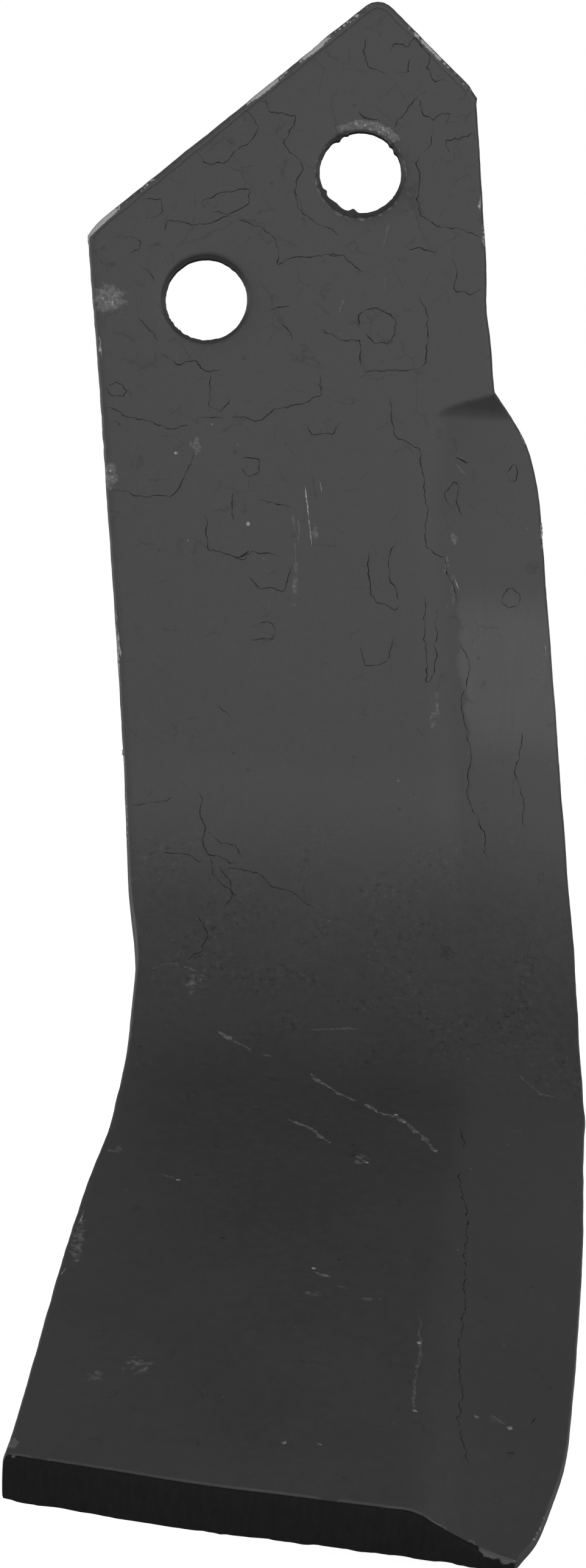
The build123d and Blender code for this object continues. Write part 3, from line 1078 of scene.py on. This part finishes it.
# %% Wiring helpers
class Wiring:
    """Adds nodes to one tree. A value given to a node is either a number or another node's output."""

    def __init__(self, tree):
        self.tree = tree

    def feed(self, socket, value):
        """Link an output to the socket, or set the socket to a number."""
        if isinstance(value, bpy.types.NodeSocket):
            self.tree.links.new(value, socket)
        else:
            socket.default_value = value

    def fill(self, node, *values, **named):
        """Feed a node's inputs, in order or by name, with _ for a space, and give the node back."""
        for socket, value in zip(node.inputs, values):
            self.feed(socket, value)
        for title, value in named.items():
            self.feed(node.inputs[title.replace("_", " ")], value)
        return node

    def node(self, kind, *values, **named):
        """A new node with its inputs set."""
        return self.fill(self.tree.nodes.new("ShaderNode" + kind), *values, **named)

    def math(self, operation, *values):
        """One sum on numbers."""
        node = self.node("Math")
        node.operation = operation
        return self.fill(node, *values).outputs[0]

    def times(self, first, *others):
        """The product of all the values."""
        for other in others:
            first = self.math("MULTIPLY", first, other)
        return first

    def most(self, first, *others):
        """The highest of all the values."""
        for other in others:
            first = self.math("MAXIMUM", first, other)
        return first

    def line(self, value, slope, start):
        """A straight line: the value times the slope, plus the start."""
        return self.math("MULTIPLY_ADD", value, slope, start)

    def gap(self, first, second):
        """How far two values are apart."""
        return self.math("ABSOLUTE", self.math("SUBTRACT", first, second))

    def rise(self, value, low, high):
        """A smooth rise from none below low to one above high."""
        node = self.node("MapRange")
        node.interpolation_type = "SMOOTHSTEP"
        return self.fill(node, Value=value, From_Min=low, From_Max=high).outputs["Result"]

    def fall(self, value, low, high):
        """A smooth fall from one below low to none above high."""
        return self.math("SUBTRACT", 1.0, self.rise(value, low, high))

    def vector(self, operation, *values, output="Vector", **named):
        """One sum on vectors."""
        node = self.node("VectorMath")
        node.operation = operation
        return self.fill(node, *values, **named).outputs[output]

    def parts(self, place):
        """The three parts of a vector."""
        return self.node("SeparateXYZ", place).outputs

    def noise(self, place, scale, detail=3.0, output="Fac"):
        """Fractal noise, as one value or as three in a colour."""
        return self.node("TexNoise", Vector=place, Scale=scale, Detail=detail).outputs[output]

    def cells(self, place, scale, feature="F1"):
        """Voronoi cells, with the distance from their seeds or their edges and a colour for each."""
        node = self.node("TexVoronoi")
        node.feature = feature
        return self.fill(node, Vector=place, Scale=scale).outputs

    def colour(self, share, first, second):
        """Two colours mixed by a share."""
        node = self.node("Mix")
        node.data_type = "RGBA"
        for number, value in ((0, share), (6, first), (7, second)):
            self.feed(node.inputs[number], value)
        return node.outputs[2]

    def attribute(self, title, output="Fac"):
        """A value that the mesh's points carry."""
        node = self.node("Attribute")
        node.attribute_name = title
        return node.outputs[output]

    def bump(self, height, strength=1.0):
        """The surface's direction, changed as if it had this height in millimetres."""
        return self.node("Bump", Height=height, Distance=MM, Strength=strength).outputs["Normal"]

    def use(self, group, **values):
        """A node group with its inputs set."""
        node = self.node("Group")
        node.node_tree = group
        return self.fill(node, **values).outputs


def new_group(name, inputs, outputs):
    """A node group with named sockets: gives back its wiring, its inputs and its output node."""
    group = bpy.data.node_groups.new(name, "ShaderNodeTree")
    for in_out, sockets in (("INPUT", inputs), ("OUTPUT", outputs)):
        for title, kind in sockets.items():
            group.interface.new_socket(title, in_out=in_out, socket_type="NodeSocket" + kind)
    entry, leave = group.nodes.new("NodeGroupInput"), group.nodes.new("NodeGroupOutput")
    return group, Wiring(group), entry.outputs, leave.inputs


def new_material(name):
    """A material with its wiring and its Principled shader."""
    material = bpy.data.materials.new(name)
    material.use_nodes = True
    return material, Wiring(material.node_tree), material.node_tree.nodes["Principled BSDF"].inputs


def grey(value):
    """A neutral colour, a trace colder than true grey, as the paint is."""
    return (value, value, value * 1.02, 1.0)


print("wiring helpers ready")

# %% [markdown]
# Sprayed paint over rolled steel is never quite even. One group gives that grain: a fine grit
# from the spray, a mottling a few millimetres wide and slow clouds a few centimetres wide.

# %% Grain group
grain_group, nodes, given, out = new_group(
    "paint_grain", {"Place": "Vector"}, {"Tone": "Float", "Height": "Float"}
)
grit = nodes.noise(given["Place"], 2.6, 1.0)
mottle = nodes.noise(given["Place"], 0.5, 2.0)
clouds = nodes.noise(given["Place"], 0.045, 2.0)
tone = nodes.line(mottle, 0.35, nodes.line(grit, 0.5, -0.25))
tone = nodes.line(clouds, 0.3, nodes.math("SUBTRACT", tone, 0.325))
nodes.feed(out["Tone"], tone)
nodes.feed(out["Height"], nodes.line(mottle, 0.05, nodes.times(grit, 0.02)))
print("group", grain_group.name)

# %% [markdown]
# Between the clear flake edges there are many faint ones. A Voronoi pattern gives closed cells, and
# its distance to the edge gives lines of even width. Bending the place with noise first makes the
# cells curved and ragged, and a slow noise lets only some of them show.

# %% Flake group
flake_group, nodes, given, out = new_group(
    "faint_flakes", {"Place": "Vector", "Line Width": "Float", "Share": "Float"}, {"Line": "Float"}
)
bent_place = given["Place"]
for scale, detail, bending in ((0.8, 2.0, 1.3), (0.07, 0.0, 9.0)):
    swirl = nodes.noise(given["Place"], scale, detail, "Color")
    swirl = nodes.vector("SUBTRACT", swirl, (0.5, 0.5, 0.5))
    bent_place = nodes.vector("ADD", bent_place, nodes.vector("SCALE", swirl, Scale=bending))
bar = nodes.math("SUBTRACT", 1.0, given["Share"])
all_lines = 0.0
for flake_size in (13.0, 6.5):
    flakes = nodes.cells(bent_place, 1 / flake_size, "DISTANCE_TO_EDGE")
    line = nodes.fall(nodes.times(flakes["Distance"], flake_size), 0.0, given["Line Width"])
    moved = nodes.vector("ADD", given["Place"], (7.0 * flake_size, 0.0, 0.0))
    shown = nodes.rise(nodes.noise(moved, 0.16, 1.0), bar, nodes.math("ADD", bar, 0.08))
    all_lines = nodes.most(nodes.times(line, shown), all_lines)
nodes.feed(out["Line"], all_lines)
print("group", flake_group.name)

# %% [markdown]
# Worn places are ragged: the paint goes first on the high spots. This group compares how worn a
# spot should be with noise, so that a little wear gives a few specks and a lot gives bare metal.

# %% Worn group
worn_group, nodes, given, out = new_group(
    "worn_spots", {"Place": "Vector", "Wear": "Float", "Grain": "Float"}, {"Bare": "Float"}
)
ragged = nodes.noise(given["Place"], given["Grain"], 3.0)
over = nodes.math("SUBTRACT", nodes.math("ADD", ragged, given["Wear"]), 1.0)
nodes.feed(out["Bare"], nodes.rise(over, 0.0, 0.22))
print("group", worn_group.name)

# %% [markdown]
# A rub or a smudge has a middle and a reach. This group gives a soft oval patch round a place, one
# in the middle and none at its rim, which then feeds the worn group or tints the paint.

# %% Patch group
patch_group, nodes, given, out = new_group(
    "soft_patch", {"Place": "Vector", "Middle": "Vector", "Reach": "Vector"}, {"Patch": "Float"}
)
offset = nodes.vector("SUBTRACT", given["Place"], given["Middle"])
offset = nodes.vector("DIVIDE", offset, given["Reach"])
nodes.feed(out["Patch"], nodes.fall(nodes.vector("LENGTH", offset, output="Value"), 0.2, 1.0))
print("group", patch_group.name)

# %% [markdown]
# The paint itself is a dark satin grey. It is dielectric, so it stays unmetallic, and its gloss is
# low and a little uneven. Everything else is laid over it: grain, faint flake lines of painted shade,
# pits and dust, a line of painted shade and a paler strip of painted highlight along the sheared top,
# worn edges, rubbed patches, a painted highlight on the bevel and the scuffs inside the bend.

# %% Satin paint
paint_grey, rubbed_grey, bare_grey, dark_grey = 0.042, 0.16, 0.38, 0.015
paint, nodes, shader = new_material("satin_paint")
where = nodes.attribute("pattern", "Vector")
grain = nodes.use(grain_group, Place=where)
_, along_s, into_w = nodes.parts(where)
front_only = nodes.fall(into_w, 6.6, 7.4)

# faint flake lines of painted shade, denser above the bend than on the foot
density = nodes.line(nodes.rise(along_s, 20.0, -110.0), 0.13, 0.36)
flake_line = nodes.use(flake_group, Place=where, Line_Width=0.22, Share=density)["Line"]

# pits are small dark dots, dust is smaller pale ones, closer together, some brighter than others
pit = nodes.fall(nodes.cells(where, 0.11)["Distance"], 0.028, 0.05)
specks = nodes.cells(where, 0.17)
dust = nodes.times(nodes.fall(specks["Distance"], 0.025, 0.05), nodes.rise(specks["Color"], 0.35, 0.9))

# the sheared top: a rolled-over strip painted paler, a painted highlight, with a dark wandering line
# of painted shade in the groove where the roll starts
rim_here, shear_here = nodes.attribute("rim"), nodes.attribute("shear")
# a dark line of painted shade along the groove where the top's roll starts
groove_shade_line = nodes.line(nodes.noise(where, 0.35, 2.0), 0.6, 1.2)
groove_shade = nodes.times(nodes.fall(nodes.gap(rim_here, groove_shade_line), 0.08, 0.26), shear_here, front_only)
# the rolled-over strip along the top is painted paler: a painted highlight
painted_highlight_band = nodes.times(nodes.fall(rim_here, 1.2, 1.5), shear_here, front_only)

# worn edges: specks that grow towards the two corners of the outline
near_edge = nodes.fall(nodes.line(shear_here, -0.45, rim_here), 0.15, 1.0)
near_corner = nodes.times(near_edge, nodes.rise(nodes.gap(nodes.attribute("down"), 0.5), 0.1, 0.3))
all_wear = nodes.times(nodes.attribute("wear"), near_corner, 0.8)


def oval(u, s, reach_u, reach_s, reach_w=6.0):
    """A soft oval patch round a place on the front face."""
    reach = (reach_u, reach_s, reach_w)
    return nodes.use(patch_group, Place=where, Middle=(u, s, 0.0), Reach=reach)["Patch"]


# rubbed patches on the front face, each with its strength, its middle and its reach
rubbed = 0.0
patch_list = [
    (0.95, -45.5, -89.0, 5.2, 4.2),
    (0.95, -44.0, -53.5, 3.0, 4.2),
    (0.55, -26.5, -60.5, 2.0, 3.0),
    (0.55, 26.0, -44.5, 1.5, 2.5),
    (0.55, 24.5, -39.5, 1.2, 3.0),
    (0.5, 42.0, -33.5, 1.2, 3.5),
    (0.5, -2.0, -44.0, 1.5, 2.5),
    (0.42, -5.5, -35.0, 1.0, 9.0),
    (0.42, 23.5, -10.0, 1.4, 8.0),
    (0.42, 11.5, 105.5, 2.6, 3.2),
    (0.42, -21.5, 50.5, 3.4, 4.0),
    (0.46, 34.0, 182.0, 4.5, 3.0, 9.0),
    (0.42, -24.5, 176.5, 4.0, 5.0),
    (0.5, -37.0, 139.0, 2.0, 14.0),
    (0.42, -33.0, 106.0, 2.6, 3.4),
    (0.36, -31.0, 180.5, 3.0, 5.0),
    (0.9, -42.5, 200.0, 1.6, 2.0),
    (0.45, 12.5, 153.0, 2.6, 1.2),
    (0.45, 3.5, 152.0, 3.0, 1.0),
]
for amount, *ends in patch_list:
    rubbed = nodes.most(nodes.times(oval(*ends), amount), rubbed)

# thin worn arcs round the rims of both holes, and a rubbed crescent above the upper one
flat = nodes.vector("MULTIPLY", where, (1.0, 1.0, 0.0))
for (hole, *_), arc_wear in zip(hole_blocks, (0.34, 0.26)):
    centre_u, centre_s = (float(value) for value in on_pattern(*hole))
    radius = nodes.vector("DISTANCE", flat, (centre_u, centre_s, 0.0), output="Value")
    away = nodes.math("SUBTRACT", radius, hole_radius)
    arc = nodes.fall(nodes.gap(away, 0.3), 0.05, 0.5)
    all_wear = nodes.most(nodes.times(arc, arc_wear), all_wear)
    if hole == upper_hole:
        above = oval(centre_u + 2.2, centre_s - 9.5, 10.0, 6.5)
        crescent = nodes.times(above, nodes.fall(away, 1.3, 2.7))
        rubbed = nodes.most(rubbed, crescent, nodes.times(arc, 0.42))
all_wear = nodes.most(nodes.times(rubbed, 0.5), all_wear)
bare_share = nodes.use(worn_group, Place=where, Wear=all_wear, Grain=1.6)["Bare"]
torn_rim = nodes.line(nodes.noise(where, 0.8, 3.0), 1.6, -0.8)
inside = nodes.rise(nodes.math("ADD", rubbed, torn_rim), 0.3, 0.6)
mottled = nodes.line(nodes.rise(nodes.noise(where, 1.1, 2.0), 0.3, 0.7), 0.6, 0.2)
rubbed = nodes.times(inside, mottled)

# the bevel between the swell and the bend line is painted paler in long streaks: a painted highlight
# where it tilts towards the light
streaks = nodes.noise(nodes.vector("MULTIPLY", where, (1.0, 0.07, 1.0)), 1.1, 4.0)
ragged_side = nodes.line(nodes.noise(where, 0.2, 2.0), 5.0, nodes.attribute("bevel_side"))
past = nodes.rise(ragged_side, 7.3, 8.6)
from_top, to_bend = nodes.rise(along_s, -38.0, -26.0), nodes.rise(along_s, 6.0, -12.0)
# painted highlight on the bevel, laid in long streaks
painted_bevel_highlight = nodes.times(past, from_top, to_bend, nodes.line(streaks, 0.25, 0.19))

# the bend stretched and wrinkled the paint, which left small light and dark scuffs
on_bend = nodes.math("SUBTRACT", nodes.rise(along_s, 0.0, 30.0), nodes.rise(along_s, 55.0, 90.0))
scuffs = nodes.noise(where, 0.9, 4.0)
light_and_dark = nodes.math("SUBTRACT", nodes.rise(scuffs, 0.57, 0.7), nodes.rise(scuffs, 0.43, 0.3))
in_patches = nodes.rise(nodes.noise(where, 0.08, 1.0), 0.42, 0.6)
scuffed = nodes.times(light_and_dark, on_bend, in_patches)

# colour: the paint's grey, made lighter or darker by all of these, painted highlights and painted
# shade among them
tone = nodes.line(grain["Tone"], 1.15, 1.0)
for share, gain in ((painted_bevel_highlight, 2.0), (painted_highlight_band, 0.4), (scuffed, 0.5)):
    tone = nodes.line(share, gain, tone)
# dark share: painted shade in the flake lines and in the top's groove, and the pits
dark_share = nodes.most(nodes.times(flake_line, 0.55), nodes.times(pit, 0.8), nodes.times(groove_shade, 0.8))
painted = nodes.vector("MULTIPLY", nodes.colour(dark_share, grey(paint_grey), grey(dark_grey)), tone)
painted = nodes.colour(nodes.most(rubbed, nodes.times(dust, 0.7)), painted, grey(rubbed_grey))
nodes.feed(shader["Base Color"], nodes.colour(bare_share, painted, grey(bare_grey)))
nodes.feed(shader["Roughness"], nodes.line(grain["Tone"], 0.3, 0.56))
nodes.feed(shader["Normal"], nodes.bump(grain["Height"], 0.9))
print("paint of", len(nodes.tree.nodes), "nodes")

# %% [markdown]
# The sheared end and the walls of the holes broke rather than flowed. They are dull steel with a
# torn grain that runs through the thickness, painted nearly black: the near black is painted shade.

# %% Sheared steel
# the torn grey is near black: painted shade on the end and the hole walls, which turn from the light
shaded_torn_grey, scraped_grey = 0.0105, 0.10
sheared, nodes, shader = new_material("shaded_sheared_steel")
where = nodes.attribute("pattern", "Vector")
grain = nodes.use(grain_group, Place=where)
across_u, along_s, _ = nodes.parts(where)
torn = nodes.noise(nodes.vector("MULTIPLY", where, (1.0, 1.0, 0.25)), 1.4, 3.0)
tone = nodes.line(torn, 0.9, nodes.line(grain["Tone"], 0.6, 0.55))
steel = nodes.vector("MULTIPLY", grey(shaded_torn_grey)[:3], tone)

# bright specks along the end's front corner, and a chipped place near the tip
down_edge = nodes.attribute("down")
front_wear = nodes.times(nodes.attribute("wear"), nodes.fall(down_edge, 0.1, 0.35), 0.7)
on_tip = nodes.times(nodes.rise(across_u, 27.0, 31.0), nodes.rise(along_s, 190.0, 195.0))
tip_wear = nodes.times(on_tip, nodes.fall(down_edge, 0.35, 0.7), 0.8)
end_wear = nodes.most(front_wear, tip_wear)
specks = nodes.use(worn_group, Place=where, Wear=end_wear, Grain=1.1)["Bare"]
nodes.feed(shader["Base Color"], nodes.colour(specks, steel, grey(scraped_grey)))
nodes.feed(shader["Roughness"], nodes.line(torn, 0.2, 0.7))
shader["Specular IOR Level"].default_value = 0.12
nodes.feed(shader["Normal"], nodes.bump(nodes.line(torn, 0.25, grain["Height"])))
for finish in (paint, sheared):
    blade.data.materials.append(finish)
print("sheared faces", int(shaded_sheared_face.sum()))

# %% [markdown]
# The strokes have small finishes of their own. Flake edges and dents are painted near black, as
# painted shade in their grooves. Scratches are steel that has gone a little dull again, and so are
# chips and nicks. The marks on the foot scraped the paint without going through it, and the pale
# strokes hardly touched it.

# %% Stroke finishes
def stroke_finish(name, low, high, roughness, pieces, gloss=0.5):
    """A finish for strokes between two greys, mixed by fine noise on the coordinates in metres."""
    material, nodes, shader = new_material(name)
    coordinates = nodes.node("TexCoord").outputs["Object"]
    share = nodes.rise(nodes.noise(coordinates, 1500.0, 3.0), 0.35, 0.65)
    nodes.feed(shader["Base Color"], nodes.colour(share, grey(low), grey(high)))
    nodes.feed(shader["Roughness"], nodes.line(share, 0.15, roughness))
    shader["Specular IOR Level"].default_value = gloss
    for piece in pieces:
        piece.data.materials.append(material)


# flake edges and dents are near black: painted shade in their grooves
stroke_finish("painted_groove_shade", 0.010, 0.03, 0.7, [flake_edges, dents], gloss=0.15)
stroke_finish("dulled_steel", 0.12, 0.4, 0.45, [scratches])
stroke_finish("scraped_paint", 0.055, 0.15, 0.55, [foot_marks])
stroke_finish("pale_scrape", 0.05, 0.1, 0.55, [pale_strokes])
stroke_finish("chipped_steel", 0.1, 0.34, 0.5, [chips, nicks])
print("stroke finishes ready")

# %% [markdown]
# The stage is plain: a pale floor and a white room. A large soft light stands behind the camera, so
# that the shank, which faces it, is the brightest part and the foot, which faces up, is darker. A
# fill on the left reaches into the bend, a weak light from above grazes the foot, and three weak ones
# behind the blade lift its edges and its back. The floor glows for the camera only, which keeps it
# pale without lighting the blade from below.

# %% Stage
blade_middle = (0.0, -0.06, -0.1)


def new_light(name, width, height, power, at):
    """A soft light panel, turned from its place to the middle of the blade."""
    lamp = bpy.data.lights.new(name, "AREA")
    lamp.shape, lamp.size, lamp.size_y, lamp.energy = "RECTANGLE", width, height, power
    light = bpy.data.objects.new(name, lamp)
    light.location = at
    light.rotation_euler = (Vector(blade_middle) - Vector(at)).to_track_quat("-Z", "Y").to_euler()
    light.visible_camera = False
    bpy.context.scene.collection.objects.link(light)


new_light("front_softbox", 2.6, 1.8, 45.5, (0.8, -2.3, 0.03))
new_light("left_fill", 1.4, 1.4, 16.0, (-2.0, -1.3, 0.1))
new_light("top_softbox", 1.8, 1.8, 1.9, (0.2, -0.5, 2.2))
new_light("left_rim", 1.4, 1.4, 12.0, (-2.2, 1.3, 0.3))
new_light("right_rim", 1.4, 1.4, 8.0, (2.2, 1.3, 0.3))
new_light("back_softbox", 1.8, 1.8, 2.3, (0.3, 1.7, 1.9))

floor_half, floor_gap = 20.0, 0.0005
glow_to_camera, world_light = 0.88, 0.18
floor_corners = np.array([(-1, -1), (1, -1), (1, 1), (-1, 1)]) * floor_half
floor_points = np.column_stack([floor_corners, np.full(4, cad_low.z - floor_gap)])
floor = new_piece("floor", floor_points, np.arange(4), np.array([4]))
floor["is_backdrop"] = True
pale, nodes, shader = new_material("pale_floor")
speckle = nodes.noise(nodes.node("TexCoord").outputs["Object"], 40.0, 3.0)
nodes.feed(shader["Base Color"], nodes.colour(speckle, (0.86, 0.86, 0.86, 1), (0.9, 0.9, 0.9, 1)))
shader["Roughness"].default_value = 0.9
shader["Emission Color"].default_value = (1, 1, 1, 1)
seen = nodes.node("LightPath").outputs["Is Camera Ray"]
nodes.feed(shader["Emission Strength"], nodes.times(seen, glow_to_camera))
floor.data.materials.append(pale)

world = bpy.data.worlds.new("white_room")
bpy.context.scene.world = world
world.use_nodes = True
nodes = Wiring(world.node_tree)
background = world.node_tree.nodes["Background"]
background.inputs["Color"].default_value = (1, 1, 1, 1)
seen = nodes.node("LightPath").outputs["Is Camera Ray"]
nodes.feed(background.inputs["Strength"], nodes.line(seen, 1 - world_light, world_light))
bpy.context.scene.view_settings.view_transform = "Standard"
print("stage ready")

# %% [markdown]
# Last, the sizes: the boxes of the painted blade and of the CAD model are printed.

# %% Sizes
low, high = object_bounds()
sizes = {"cad": [list(cad_low), list(cad_high)], "visual": [list(low), list(high)]}
for title, box in sizes.items():
    print(title, [[round(side / MM, 1) for side in corner] for corner in box])
